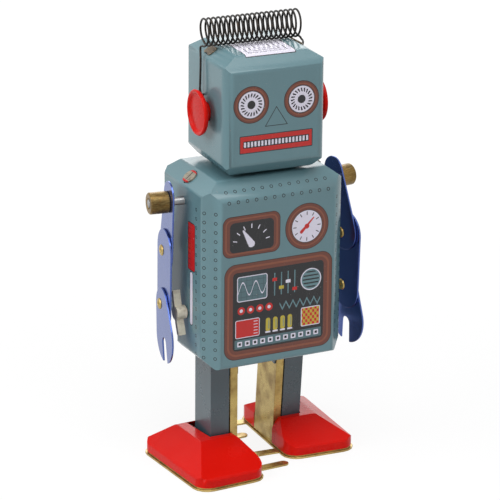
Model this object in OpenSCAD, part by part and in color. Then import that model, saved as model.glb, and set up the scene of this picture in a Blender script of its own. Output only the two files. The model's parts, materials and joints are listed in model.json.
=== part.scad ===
// Wind-up walking robot of printed tinplate.
// Millimetres. The robot faces -Y, its own right side is at -X, +Z is up, the soles stand on z = 0.
// It rests in mid stride: the right leg hangs upright, the left leg leans back.

/* [Body] */
// Width of the body across its flat sides
body_w = 43.7; // [40:0.1:48]
// Height of the body's lower edge above the floor
body_bottom = 32.7; // [32:0.1:33]
// Height of the body's flat top above the floor
body_top = 87; // [86.8:0.1:87.2]
// Distance from the seam plane to the front panel
body_front = 16; // [15.5:0.1:17]
// Distance from the seam plane to the back panel
body_back = 16.8; // [16:0.1:18]
// Distance from the seam plane to the back below its step
body_back_low = 8.2; // [8:0.1:9]
// Width of the flattened upright corners
body_corner = 4.4; // [3.5:0.1:5]
// Radius along the pressed edges
edge_r = 1.2; // [0.8:0.1:1.6]
// Thickness of the printed tinplate
tin = 0.4; // [0.3:0.05:0.5]

/* [Head] */
// Width of the head
head_w = 30.5; // [28:0.1:33]
// Turn of the head on its neck, in degrees
head_turn = -2.8; // [-5:0.1:5]
// Distance from the seam plane to the face
head_front = 15.2; // [14:0.1:16]
// Distance from the seam plane to the back of the head
head_back = 13.5; // [12:0.1:15]
// Height of the head's flat top above the floor
head_top = 122; // [120:0.1:124]
// Gap between the body's top and the head
neck_gap = 0.9; // [0.6:0.1:1.5]
// Diameter of each ear dish
ear_d = 13; // [11:0.1:14]

/* [Antenna] */
// Number of turns of the antenna spring
coil_turns = 20; // [14:1:24]
// Outer diameter of the antenna spring
coil_d = 8.2; // [7:0.1:8.4]
// Diameter of the spring wire
wire_d = 0.6; // [0.5:0.05:0.7]
// Length of the coil from its first turn to its last
coil_len = 29.1; // [24:0.1:30]

/* [Arms] */
// Distance between one rivet of the arm and the next
arm_pitch = 15.9; // [15:0.1:16.5]
// Thickness of an arm plate
arm_t = 0.5; // [0.4:0.05:0.6]
// Gap between the body's side and the upper arm
arm_gap = 4; // [3.9:0.1:5]
// Diameter of the shoulder stud
stud_d = 2.4; // [2:0.1:2.6]
// Diameter of the brass collar on the stud
collar_d = 6.2; // [5:0.1:7]
// Turn of each arm away from straight ahead
arm_toe = 8; // [6:1:9]
// Swing of the right upper arm at rest, forward positive
right_arm_swing = -14; // [-20:1:0]
// Swing of the left upper arm at rest, forward positive
left_arm_swing = 14; // [0:1:20]
// Turn of the right hand forward at rest
right_hand_turn = 14; // [0:1:20]

/* [Legs and feet] */
// Distance from the middle plane to the inner face of a leg
leg_in = 7; // [6.9:0.1:7.2]
// Distance from the middle plane to the outer face of a leg
leg_out = 15.5; // [15:0.1:16]
// Depth of the leg's outer channel, front to back
leg_depth = 10.2; // [9.5:0.1:10.5]
// Height of the leg's pivot above the floor
pivot_z = 60; // [58:0.5:61]
// Lean of the left leg at rest, foot to the back
left_lean = 5.3; // [4:0.1:6]
// Length of a foot
foot_len = 35.5; // [34:0.1:37]
// Distance from the middle plane to the outer edge of a foot
foot_out = 28; // [26:0.1:29]
// Degrees that the heels stand outwards
foot_splay = 3; // [0:0.5:5]
// Distance from the middle of the stride to the toe of the right foot
right_toe = 22.5; // [22:0.1:23]
// Thickness of the brass sole plate
sole_t = 0.5; // [0.4:0.05:0.6]

/* [Clockwork] */
// Module of the gears, pitch diameter over teeth
gear_m = 0.4; // [0.4:0.4]
// Teeth on the great wheel
great_teeth = 40; // [40:1:40]
// Teeth on every pinion
pinion_teeth = 10; // [10:1:10]
// Teeth on the third wheel
third_teeth = 32; // [32:1:32]
// Radius of the crank pins' circle
crank_r = 2.6; // [2.4:0.1:2.6]
// Turns of the mainspring
spring_turns = 5; // [3:1:6]

/* [Hidden] */
$fn = 40;

// Colours of the printed and bare metals
tin_teal = [0.42, 0.54, 0.56];
tin_red = [0.80, 0.07, 0.05];
tin_navy = [0.45, 0.52, 0.66];
leg_grey = [0.42, 0.48, 0.52];
brass = [0.72, 0.58, 0.30];
steel = [0.62, 0.62, 0.62];
black_steel = [0.12, 0.12, 0.13];
key_metal = [0.80, 0.74, 0.60];

// Seam, shoulders and steps of the body
seam_y = 0.6;
half_w = body_w / 2;
slope = 5;                 // run and rise of the slopes along the front and back top edges
shoulder_run = 5;
shoulder_rise = 3.8;
foot_r = 3;                // rounding of the body's lower corners
step_z = 39.5;             // the back steps in below this height
big = 200;

// A shaft that meshes with the one at c, run behind it and above it, or below it with side = -1
function shaft_at(c, dist, run, side = 1) = [c.x + run, c.y + side * sqrt(dist * dist - run * run)];

// Shafts of the clockwork, each [y, z]
arbor_c = [-2, 46.5];
centre_dist = gear_m * (great_teeth + pinion_teeth) / 2;
escape_dist = gear_m * (third_teeth + pinion_teeth) / 2;
crank_c = shaft_at(arbor_c, centre_dist, 3, -1);
third_c = shaft_at(arbor_c, centre_dist, 1);
escape_c = shaft_at(third_c, escape_dist, -3);
verge_c = escape_c + [4.4, 4.4];
arbor_r = 1.3;
axle_r = 0.9;
plate_in = 4.6;            // inner face of each motor plate
plate_t = 0.8;
disc_in = 5.7;
disc_t = 0.8;
run_gap = 0.05;            // radial clearance of every shaft in its hole
shaft_end = plate_in + plate_t + 0.1;

// The left foot stands as far behind the middle of the stride as the right one stands in front
left_toe = foot_len - right_toe;

// Bent tabs that close the seams, and the slits they come through
tab_t = 0.5;
slit_w = 0.7;
body_tab_w = 3.8;
head_tab_w = 2.6;

// Spigots of the neck, the lower one in the body's top and the upper one in the head
low_spigot = [8.6, 5.6];
high_spigot = [15.6, 11.6];
spigot_play = 0.4;

// Slots that the legs swing in
leg_mid = (leg_in + leg_out) / 2;
leg_slot_w = leg_out - leg_in + 2.6;

// Shoulders
shoulder_z = 78.8;
layer = arm_t + 0.1;       // step from one arm plate to the next
collar_len = 5.6;
stud_in = 10;              // length of the stud inside the body
rivet_r = 1;
rivet_head_r = 1.6;
rivet_head_t = 0.35;

// Ears and antenna
ear_c = [-2.5, 104.3];
coil_z = 126.2;
coil_x = -1.2;

// Outline helpers

// Direction of the edge from p to q
function unit2(p, q) = (q - p) / norm(q - p);

// Corner where two lines meet, each given by a point and a direction
function meet(p, d, q, e) =
    let (den = d.x * e.y - d.y * e.x)
    p + d * ((q.x - p.x) * e.y - (q.y - p.y) * e.x) / den;

// A counter-clockwise outline moved inwards by t on every side
function inset(pts, t) =
    let (n = len(pts))
    [for (i = [0 : n - 1])
        let (a = pts[(i + n - 1) % n], b = pts[i], c = pts[(i + 1) % n],
             d = unit2(a, b), e = unit2(b, c))
        meet(b + t * [-d.y, d.x], d, b + t * [-e.y, e.x], e)];

// The same outline with each corner turned into an arc of radius r in steps
function rounded(pts, r, steps = 3) =
    let (n = len(pts))
    [for (i = [0 : n - 1])
        let (b = pts[i],
             d = unit2(pts[(i + n - 1) % n], b), e = unit2(b, pts[(i + 1) % n]),
             turn = atan2(d.x * e.y - d.y * e.x, d * e),
             run = r * tan(abs(turn) / 2), side = turn > 0 ? 1 : -1,
             centre = b - run * d + r * side * [-d.y, d.x])
        for (k = [0 : steps])
            let (a = k * turn / steps, s = -side * r * [-d.y, d.x])
            centre + [s.x * cos(a) - s.y * sin(a), s.x * sin(a) + s.y * cos(a)]];

// Outline drawn in X and Z, extruded from y0 to y1
module along_y(y0, y1) {
    translate([0, y1, 0]) rotate([90, 0, 0]) linear_extrude(y1 - y0) children();
}

// Outline drawn in Y and Z, extruded from x0 to x1
module along_x(x0, x1) {
    translate([x0, 0, 0]) rotate([90, 0, 90]) linear_extrude(x1 - x0) children();
}

// Round bar along X at c = [y, z]
module bar(c, r, x0, x1) {
    translate([x0, c.x, c.y]) rotate([0, 90, 0]) cylinder(h = x1 - x0, r = r);
}

// Copy of the children on the robot's left side
module on_left() { mirror([1, 0, 0]) children(); }

// Printed shells

// Floor plan with flattened corners, from y0 to y1
function plan(w, y0, y1, c) =
    [[-w + c, y0], [w - c, y0], [w, y0 + c], [w, y1 - c], [w - c, y1], [-w + c, y1],
     [-w, y1 - c], [-w, y0 + c]];

// Front view of the body: sloped shoulders and rounded lower corners
function body_view() =
    [[-half_w + foot_r, body_bottom], [half_w - foot_r, body_bottom],
     [half_w, body_bottom + foot_r], [half_w, body_top - shoulder_rise],
     [half_w - shoulder_run, body_top], [-half_w + shoulder_run, body_top],
     [-half_w, body_top - shoulder_rise], [-half_w, body_bottom + foot_r]];

// Side view of the body above and in front of its step
function body_side() =
    [[-body_front, body_bottom], [body_back, body_bottom], [body_back, body_top - slope],
     [body_back - slope, body_top], [-body_front + slope, body_top],
     [-body_front, body_top - slope]];

// The opening in the body's underside, inside the lower edges that are pressed inwards
module underside() {
    polygon(rounded(inset(plan(half_w - foot_r, -body_front + edge_r, body_back_low - edge_r, 3),
        tin), 0.8));
}

// Solid inside the body's skin, moved in by t
module body_mass(t) {
    r = edge_r - t;
    intersection() {
        along_y(-big, big) polygon(rounded(inset(body_view(), t), r));
        along_x(-big, big) polygon(rounded(inset(body_side(), t), r));
        union() {
            intersection() {
                translate([0, 0, step_z]) linear_extrude(big)
                    polygon(rounded(inset(plan(half_w, -body_front, body_back, body_corner), t), r));
                // the slope under the back's step, with its corners flattened alike
                translate([0, body_back_low, step_z]) rotate([-45, 0, 0])
                    translate([0, 0, -big / 2]) linear_extrude(big)
                    polygon(rounded(inset(plan(half_w, -big, 0, body_corner / sqrt(2)), t), r));
            }
            linear_extrude(step_z + 1.5)
                polygon(rounded(inset(plan(half_w, -body_front, body_back_low, body_corner), t), r));
        }
    }
}

// Everything in front of (side = -1) or behind (side = 1) the seam
module half_space(side) {
    translate([-big / 2, side < 0 ? -big + seam_y : seam_y, -big / 2]) cube([big, big, 2 * big]);
}

// Slit in the shoulder that the frame's tab comes through
module tab_place(side) {
    translate([side * (half_w - shoulder_run / 2), seam_y, body_top - shoulder_rise / 2])
        rotate([0, side * atan2(shoulder_rise, shoulder_run), 0]) children();
}

module body_openings() {
    for (side = [-1, 1]) {
        tab_place(side) cube([body_tab_w + 1, slit_w, 4], center = true);
        arm_frame(side) rotate([0, 90, 0]) translate([0, 0, -9])
            cylinder(h = 12, r = stud_d / 2 + run_gap);
    }
    bar(arbor_c, arbor_r + run_gap, -half_w - 2, -half_w + 2);
    // the neck's spigot
    translate([0, 0, body_top - 3]) linear_extrude(6)
        square([low_spigot.x + spigot_play, low_spigot.y + spigot_play], center = true);
    translate([0, 0, body_bottom - 1]) linear_extrude(3) underside();
    // notches that the legs swing through at the back
    for (side = [-1, 1])
        translate([side * leg_mid, 10, body_bottom])
            cube([leg_slot_w, 8, 2 * (leg_top + 1.2 - body_bottom)], center = true);
}

module body_shell(side) {
    difference() {
        intersection() {
            difference() {
                body_mass(0);
                body_mass(tin);
            }
            half_space(side);
        }
        body_openings();
    }
}

module body_front_shell() { color(tin_teal) body_shell(-1); }

module body_back_shell() { color(tin_teal) body_shell(1); }

// Red inner floor of the body, with a slot for each leg
module bottom_plate() {
    color(tin_red) difference() {
        translate([0, 0, body_bottom + 0.2]) linear_extrude(tin) underside();
        for (side = [-1, 1])
            translate([side * leg_mid, 4, body_bottom]) cube([leg_slot_w, 24.4, 4], center = true);
    }
}

// Head

head_low = body_top + neck_gap;
chin = 3.8;
brow = 4;
temple_run = 4.7;
temple_rise = 2.7;

module head_mass(t) {
    r = edge_r - t + 0.4;
    w = head_w / 2;
    intersection() {
        translate([0, 0, 80]) linear_extrude(60)
            polygon(rounded(inset([[-w, -head_front], [w, -head_front], [w, head_back],
                [-w, head_back]], t), 3.2 - t, 5));
        along_y(-big, big) polygon(rounded(inset([[-w + 3, head_low], [w - 3, head_low],
            [w, head_low + chin], [w, head_top - temple_rise], [w - temple_run, head_top],
            [-w + temple_run, head_top], [-w, head_top - temple_rise], [-w, head_low + chin]], t), r));
        along_x(-big, big) polygon(rounded(inset([[-head_front + chin, head_low],
            [head_back - chin, head_low], [head_back, head_low + chin], [head_back, head_top - brow],
            [head_back - brow, head_top], [-head_front + brow, head_top],
            [-head_front, head_top - brow], [-head_front, head_low + chin]], t), r));
    }
}

module head_shell(side) {
    difference() {
        intersection() {
            difference() {
                head_mass(0);
                head_mass(tin);
            }
            half_space(side);
        }
        translate([0, 0, head_low - 1]) linear_extrude(3)
            square([high_spigot.x + spigot_play, high_spigot.y + spigot_play], center = true);
        bar(ear_c, 0.9, -half_w, half_w);
        for (end = [-1, 1]) temple_place(end) cube([head_tab_w + 0.6, slit_w, 4], center = true);
    }
}

module turned_head() { rotate([0, 0, head_turn]) children(); }

module head_front_shell() { color(tin_teal) turned_head() head_shell(-1); }

module head_back_shell() { color(tin_teal) turned_head() head_shell(1); }

// Middle of a temple's slope, where a tab comes out through the seam
module temple_place(end) {
    translate([end * (head_w - temple_run) / 2, seam_y, head_top - temple_rise / 2])
        rotate([0, end * atan2(temple_rise, temple_run), 0]) children();
}

// Bare tabs that close the head's seam: a neck, and two halves spread flat on the slope
module antenna_tabs() {
    color(steel) turned_head() for (end = [-1, 1]) temple_place(end) {
        translate([-head_tab_w / 2, -tab_t / 2, -1.4]) cube([head_tab_w, tab_t, 1.8]);
        for (turn = [0, 180]) rotate([0, 0, turn]) linear_extrude(tin)
            polygon([[-1.3, 0.25], [1.3, 0.25], [1.7, 1.5], [1.3, 2.2], [-1, 2], [-1.6, 1.3]]);
    }
}

// Dark washer between head and body, with the spigot that joins them
module neck_collar() {
    color(black_steel) difference() {
        union() {
            translate([0, 0, body_top]) linear_extrude(neck_gap)
                polygon(rounded([[-10, -8], [10, -8], [10, 8], [-10, 8]], 2));
            turned_head() translate([0, 0, head_low]) linear_extrude(1.4)
                square(high_spigot, center = true);
            translate([0, 0, body_top - 1.2]) linear_extrude(1.2) square(low_spigot, center = true);
        }
        translate([0, 0, body_top - 2]) cylinder(h = 6, r = 1.6);
    }
}

// Red ear: a flat disc with a raised rim, on a short boss
module ear() {
    r = ear_d / 2;
    translate([-head_w / 2, ear_c.x, ear_c.y]) rotate([0, -90, 0]) rotate_extrude($fn = 64)
        polygon([[0.85, 0], [2.6, 0], [2.9, 0.5], [2.9, 1.4], [r - 1.4, 1.7], [r - 0.3, 2.3],
            [r, 3.1], [r - 0.15, 3.4], [r - 0.5, 3.5], [r - 0.9, 3.35], [r - 1.5, 2.75],
            [r - 2, 2.8], [0, 3.1], [0, 2.2], [0.85, 2.2]]);
}

module ear_right() { color(tin_red) turned_head() ear(); }

module ear_left() { color(tin_red) turned_head() on_left() ear(); }

// Each rivet is headed over inside the head and ends in the boss of its ear
module ear_rivets() {
    color(tin_red) turned_head() for (side = [-1, 1])
        translate([side * head_w / 2, ear_c.x, ear_c.y]) rotate([0, side * 90, 0])
            rotate_extrude($fn = 32) polygon([[0, -1.3], [1.1, -1.2], [1.7, -0.8], [1.7, -tin],
                [0.8, -tin], [0.8, 2.15], [0, 2.15]]);
}

// Antenna spring

coil_r = (coil_d - wire_d) / 2;
rings_per_turn = 8;
tail_drop = 12;

// Middle line of the coil: starts and ends at the lowest point of a turn
function coil_point(k) =
    let (a = 360 * k / rings_per_turn)
    [coil_x - coil_len / 2 + coil_len * k / (rings_per_turn * coil_turns),
     -coil_r * sin(a), coil_z - coil_r * cos(a)];

// Right end of the wire, drawn from its tip: up the side of the head and over the tab
side_x = head_w / 2 + wire_d / 2 + 0.15;
coil_low = coil_z - coil_r;
right_tail = [[side_x - 0.45, 4.5, head_top - tail_drop - 1.5],
    [side_x + 0.25, 4.5, head_top - tail_drop - 1.5], [side_x + 0.7, 4.4, head_top - tail_drop],
    [side_x + 0.55, 4, head_top - 7], [side_x + 0.35, 3.1, head_top - 3.7],
    [side_x + 0.05, 2, head_top - 2.2], [side_x - 0.7, 0.9, head_top - 1.25],
    [side_x - 1.5, -0.1, head_top - 0.65], [coil_x + coil_len / 2 + 0.35, -0.6, coil_low - 0.4]];

// Left end of the wire: straight up the side of the head, behind the ear
left_tail = [[0.45 - side_x, 0, head_top - tail_drop - 1.5],
    [-0.25 - side_x, 0, head_top - tail_drop - 1.5], [-0.7 - side_x, 0, head_top - tail_drop],
    [-0.55 - side_x, 0, head_top - 6], [-0.5 - side_x, 0, head_top - 3],
    [-0.45 - side_x, 0.35, head_top - 1.2], [coil_x - coil_len / 2 - 0.2, 0.75, coil_low - 0.4]];
wire_path = concat(left_tail, [for (k = [0 : rings_per_turn * coil_turns]) coil_point(k)],
    [for (i = [len(right_tail) - 1 : -1 : 0]) right_tail[i]]);

// Tube of six sides round a path; each ring stands square to the path there
function dir_at(path, i) =
    let (n = len(path) - 1, a = path[max(i - 1, 0)], b = path[min(i + 1, n)]) (b - a) / norm(b - a);
function ring_at(path, i, r, sides) =
    let (t = dir_at(path, i), s = cross(t, [0.21, 1, 0.13]), u = s / norm(s), v = cross(t, u))
    [for (k = [0 : sides - 1]) path[i] + r * (cos(360 * k / sides) * u + sin(360 * k / sides) * v)];

module wire_tube(path, r, sides) {
    n = len(path);
    pts = [for (i = [0 : n - 1]) each ring_at(path, i, r, sides)];
    walls = [for (i = [0 : n - 2], k = [0 : sides - 1])
        let (a = i * sides + k, b = i * sides + (k + 1) % sides, c = a + sides, d = b + sides)
        each [[a, b, d], [a, d, c]]];
    caps = [for (k = [1 : sides - 2]) each [[0, k + 1, k],
        [(n - 1) * sides, (n - 1) * sides + k, (n - 1) * sides + k + 1]]];
    polyhedron(points = pts, faces = concat(walls, caps));
}

module antenna_spring() { color(black_steel) turned_head() wire_tube(wire_path, wire_d / 2, 6); }

// Least gap between turns, measured between points more than half a turn apart
wire_gap = min([for (i = [0 : len(wire_path) - 1], j = [i + 6 : 1 : min(len(wire_path) - 1, i + 20)])
    norm(wire_path[i] - wire_path[j]) - wire_d]);
echo(least_gap_of_the_antenna_wire = wire_gap);

// Frame and clockwork

web_z = body_top - tin - 2;
frame_t = 0.6;
cheek_x = 14;
cheek_drop = 5;            // how far the cheeks reach below the shoulder studs

// Red bracket under the body's top: cheeks carry the studs, tabs come out through the shoulders
module chassis_frame() {
    color(tin_red) {
        difference() {
            union() {
                translate([-cheek_x, -6, web_z]) cube([2 * cheek_x, 12, frame_t]);
                for (side = [-1, 1])
                    translate([side > 0 ? cheek_x : -cheek_x - frame_t, -5, shoulder_z - cheek_drop])
                        cube([frame_t, 10, web_z + frame_t - shoulder_z + cheek_drop]);
            }
            for (side = [-1, 1]) arm_frame(side) rotate([0, 90, 0]) translate([0, 0, -12])
                cylinder(h = 14, r = stud_d / 2 + run_gap);
        }
        for (side = [-1, 1]) {
            // neck of the tab, inside the shell, and its two halves folded flat on the shoulder
            along_y(seam_y - tab_t / 2, seam_y + tab_t / 2) mirror([side > 0 ? 0 : 1, 0])
                polygon([[cheek_x, web_z - 1], [17.6, web_z - 2], [20.9, 83.1], [17.5, 85.7],
                    [cheek_x, web_z + frame_t]]);
            tab_place(side) {
                translate([-body_tab_w / 2, -tab_t / 2, -1.4]) cube([body_tab_w, tab_t, 1.9]);
                for (turn = [0, 180]) rotate([0, 0, turn]) intersection() {
                    translate([0, tab_t / 2, 0]) cylinder(h = tab_t, r = 2.1);
                    translate([-3, tab_t / 2, 0]) cube([6, 3, 1]);
                }
            }
        }
    }
}

module motor_outline() {
    polygon(rounded([[-12.6, 34.2], [4.6, 34.2], [7.6, 40], [10.2, 50], [9, 70], [6, 74],
        [6, web_z], [-6, web_z], [-6, 74], [-12.6, 68]], 1));
}

// Places of the pillars that hold the plates apart
pillar_places = [[-11, 36.5], [-11, 51], [8.2, 52], [7, 71]];
pillar_r = 1.1;
lightening_hole = [1.5, 79];

module motor_plate(x0) {
    difference() {
        along_x(x0, x0 + plate_t) motor_outline();
        bar(arbor_c, arbor_r + run_gap, x0 - 1, x0 + 2);
        for (c = [crank_c, third_c, escape_c, verge_c]) bar(c, axle_r + run_gap, x0 - 1, x0 + 2);
        bar([0, pivot_z], 1, x0 - 1, x0 + 2);
        bar(lightening_hole, 2.4, x0 - 1, x0 + 2);
    }
}

module motor_plate_right() { color(steel) motor_plate(-plate_in - plate_t); }

module motor_plate_left() { color(steel) motor_plate(plate_in); }

module motor_pillars() {
    color(steel) for (c = pillar_places) bar(c, pillar_r, -plate_in, plate_in);
}

// Shouldered studs riveted into the plates, which the legs hang on
leg_stud_r = 1.5;

module leg_pivots() {
    near = leg_in - plate_in - 0.1;
    far = near + leg_t + 0.2;
    color(steel) for (side = [-1, 1])
        translate([side * plate_in, 0, pivot_z]) rotate([0, side * 90, 0])
            rotate_extrude() polygon([[0, 0], [1, 0], [1, plate_t], [2.4, plate_t], [2.4, near],
                [leg_stud_r, near], [leg_stud_r, far], [2.5, far], [2.3, far + 0.5], [0, far + 0.7]]);
}

// Flat spiral wound round the arbor, its outer end held by a pillar
module mainspring() {
    steps = 20;
    r0 = arbor_r + 0.5;
    r1 = 7.2;
    t = 0.3;
    last = spring_turns * steps;
    function spiral(k, off) =
        let (a = 360 * k / steps + 150, r = r0 + (r1 - r0) * k / last + off)
        [arbor_c.x + r * cos(a), arbor_c.y + r * sin(a)];
    hook = pillar_places[1];
    color(steel) difference() {
        along_x(-1.9, 2.2) {
            polygon(concat([for (k = [0 : last]) spiral(k, 0)],
                [for (k = [last : -1 : 0]) spiral(k, t)]));
            polygon([spiral(last, 0), spiral(last, t), hook + [0, 0.4], hook - [0, 0.4]]);
        }
        bar(hook, pillar_r, -3, 3);
    }
}

// Toothed wheel

wheel_x = [-4.1, -3.2];    // great wheel, between the faces of the pinions that it drives
pinion_x = [-4.3, -3];
third_x = [2.6, 3.4];
pressure = 25;
tooth_add = 0.8 * gear_m;
tooth_ded = 1.05 * gear_m;
tooth_play = 0.1;

function involute(a) = tan(a) - a * PI / 180;

// Outline of a wheel; a tooth stands at angle "phase"
function wheel_points(n, phase) =
    let (rp = gear_m * n / 2, rb = rp * cos(pressure), ra = rp + tooth_add, rf = rp - tooth_ded,
         half = 90 / n - (tooth_play / 2) / rp * 90 / PI,
         radii = [for (k = [0 : 3]) max(rb, rf) + (ra - max(rb, rf)) * k / 3],
         spread = [for (r = radii) half + (involute(pressure) - involute(acos(min(1, rb / r)))) * 180 / PI])
    [for (i = [0 : n - 1])
        let (mid = phase + 360 * i / n)
        each concat([[rf, mid - spread[0]]], [for (k = [0 : 3]) [radii[k], mid - spread[k]]],
            [for (k = [3 : -1 : 0]) [radii[k], mid + spread[k]]], [[rf, mid + spread[0]]])];

module wheel(c, n, phase, x0, x1, bore) {
    difference() {
        along_x(x0, x1) translate(c)
            polygon([for (p = wheel_points(n, phase)) p.x * [cos(p.y), sin(p.y)]]);
        bar(c, bore, x0 - 1, x1 + 1);
        children();
    }
}

// Angle from one shaft to another, and the phase that puts a gap there
function bearing(a, b) = atan2(b.y - a.y, b.x - a.x);
function gap_phase(a, b, n) = bearing(a, b) + 180 / n;

great_phase = bearing(arbor_c, crank_c);
crank_phase = gap_phase(crank_c, arbor_c, pinion_teeth);
// the tooth of the great wheel nearest the third shaft decides the third pinion's phase
third_off = (bearing(arbor_c, third_c) - great_phase) % (360 / great_teeth);
third_phase = gap_phase(third_c, arbor_c, pinion_teeth) + third_off * great_teeth / pinion_teeth;
third_wheel_phase = bearing(third_c, escape_c);
escape_phase = gap_phase(escape_c, third_c, pinion_teeth);

module great_wheel() {
    color(brass) wheel(arbor_c, great_teeth, great_phase, wheel_x[0], wheel_x[1], arbor_r + run_gap)
        for (a = [-30 : 120 : 210])
            bar(arbor_c + 5.3 * [cos(a), sin(a)], 1.5, -5, -2);
}

// Pawl on the great wheel's face that rides over the ratchet's teeth
module ratchet_click() {
    color(steel) translate([wheel_x[1], arbor_c.x, arbor_c.y]) rotate([90, 0, 90]) linear_extrude(0.6)
        polygon([[-5.8, 1.4], [-4.4, 0.9], [-3.6, 0.1], [-3.5, 0.8], [-3.9, 2.4], [-5, 4.2], [-6.2, 3.6]]);
}

module ratchet_wheel() {
    n = 12;
    r = 3.1;
    color(steel) difference() {
        translate([-3.1, arbor_c.x, arbor_c.y]) rotate([90, 0, 90]) linear_extrude(0.6)
            polygon([for (i = [0 : n - 1]) each [r * [cos(360 * i / n), sin(360 * i / n)],
                (r - 0.7) * [cos(360 * i / n + 4), sin(360 * i / n + 4)]]]);
        bar(arbor_c, arbor_r, -5, 0);
    }
}

module winding_arbor() {
    color(steel) bar(arbor_c, arbor_r, -half_w - 1.2, plate_in + plate_t + 0.2);
}

// Butterfly key: two wings bent from one strip round a short sleeve
module winding_key() {
    out = half_w + 0.5;
    span = 6.4;
    color(key_metal) translate([-out, arbor_c.x, arbor_c.y]) rotate([-18, 0, 0]) {
        difference() {
            union() {
                rotate([0, -90, 0]) cylinder(h = 3, r = 2);
                for (side = [-1, 1])
                    along_y(-0.6, 0.6) polygon(rounded(side > 0 ?
                        [[-2.9, 0], [-0.9, 0], [-0.8, 3], [-0.7, span], [-2.9, span], [-3, 3]] :
                        [[-0.9, 0], [-2.9, 0], [-3, -3], [-2.9, -span], [-0.7, -span], [-0.8, -3]],
                        0.3));
            }
            rotate([0, -90, 0]) translate([0, 0, -1]) cylinder(h = 1.7, r = arbor_r);
        }
    }
}

module crank_axle() {
    color(steel) bar(crank_c, axle_r, -disc_in - disc_t, disc_in + disc_t);
}

module crank_pinion() {
    color(brass) wheel(crank_c, pinion_teeth, crank_phase, pinion_x[0], pinion_x[1], axle_r);
}

// Angle of the right crank pin: straight under the right leg's pivot
pin_angle = -acos(-crank_c.x / crank_r);

module crank_disc(side, angle) {
    x0 = side > 0 ? disc_in : -disc_in - disc_t;
    pin = crank_c + crank_r * [cos(angle), sin(angle)];
    color(steel) {
        difference() {
            bar(crank_c, 3.4, x0, x0 + disc_t);
            bar(crank_c, axle_r, x0 - 1, x0 + 2);
        }
        // the pin stops short of the leg's slot
        bar(pin, 0.7, side > 0 ? x0 + disc_t : x0 - 0.2, side > 0 ? x0 + disc_t + 0.2 : x0);
    }
}

module crank_disc_right() { crank_disc(-1, pin_angle); }

module crank_disc_left() { crank_disc(1, pin_angle + 180); }

module third_wheel() {
    color(brass) wheel(third_c, third_teeth, third_wheel_phase, third_x[0], third_x[1], axle_r)
        for (a = [0 : 120 : 240])
            bar(third_c + 4 * [cos(a), sin(a)], 1.2, 2, 4);
}

module third_pinion() {
    color(steel) {
        wheel(third_c, pinion_teeth, third_phase, pinion_x[0], pinion_x[1], 0.2);
        bar(third_c, axle_r, -shaft_end, shaft_end);
    }
}

module escape_wheel() {
    n = 12;
    r = 4.2;
    color(brass) difference() {
        along_x(-0.4, 0.4) translate(escape_c)
            polygon([for (i = [0 : n - 1]) each [r * [cos(360 * i / n), sin(360 * i / n)],
                (r - 0.3) * [cos(360 * i / n + 5), sin(360 * i / n + 5)],
                (r - 1.4) * [cos(360 * i / n + 9), sin(360 * i / n + 9)],
                (r - 1.4) * [cos(360 * i / n + 24), sin(360 * i / n + 24)]]]);
        bar(escape_c, axle_r, -2, 2);
    }
}

module escape_pinion() {
    color(steel) {
        wheel(escape_c, pinion_teeth, escape_phase, third_x[0] - 0.3, third_x[1] + 0.3, 0.2);
        bar(escape_c, axle_r, -shaft_end, shaft_end);
    }
}

// Rocking verge with two pallets that let one tooth by at a time
module verge() {
    color(steel) {
        bar(verge_c, axle_r, -shaft_end, shaft_end);
        difference() {
            along_x(-0.5, 0.5) translate(verge_c) polygon([[1.7, 1.7], [-4.3, 1.5], [-4.7, 0.25],
                [-3.9, 0.35], [-1, -1], [0.35, -3.9], [0.25, -4.7], [1.5, -4.3]]);
            bar(verge_c, 0.4, -3, 3);
        }
    }
}

// Legs

// Frame of one leg: turned about its pivot by its lean at rest
module leg_frame(lean) {
    translate([0, 0, pivot_z]) rotate([lean, 0, 0]) translate([0, 0, -pivot_z]) children();
}

leg_t = 0.5;               // sheet that the legs are folded from
leg_front = leg_depth / 2;
leg_top = 41;
plate_back = 6.5;
clinch_z = 26;
clinch_w = 3;
crank_slot = [34, 40];     // lowest and highest place of the crank pin in the leg
crank_slot_r = 0.95;

// Outer channel, open towards the middle, drawn on the -X side
module leg_channel(low) {
    difference() {
        translate([-leg_out, -leg_front, low])
            cube([leg_out - leg_in - 2.7, leg_depth, leg_top - low]);
        translate([-leg_out + leg_t, -leg_front + leg_t, low - 1])
            cube([leg_out, leg_depth - 2 * leg_t, leg_top]);
    }
    // strip that comes through the plate and is folded over its inner face
    translate([-leg_out + 4, -leg_front + leg_t, clinch_z])
        cube([leg_out - 4 - leg_in, leg_t, clinch_w]);
    along_x(-leg_in, -leg_in + tin) polygon(rounded([[-leg_front + 0.5, clinch_z - 0.2],
        [-leg_front + 3.2, clinch_z + 0.2], [-leg_front + 3.5, clinch_z + clinch_w + 0.3],
        [-leg_front + 0.5, clinch_z + clinch_w + 0.6]], 0.4));
}

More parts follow.
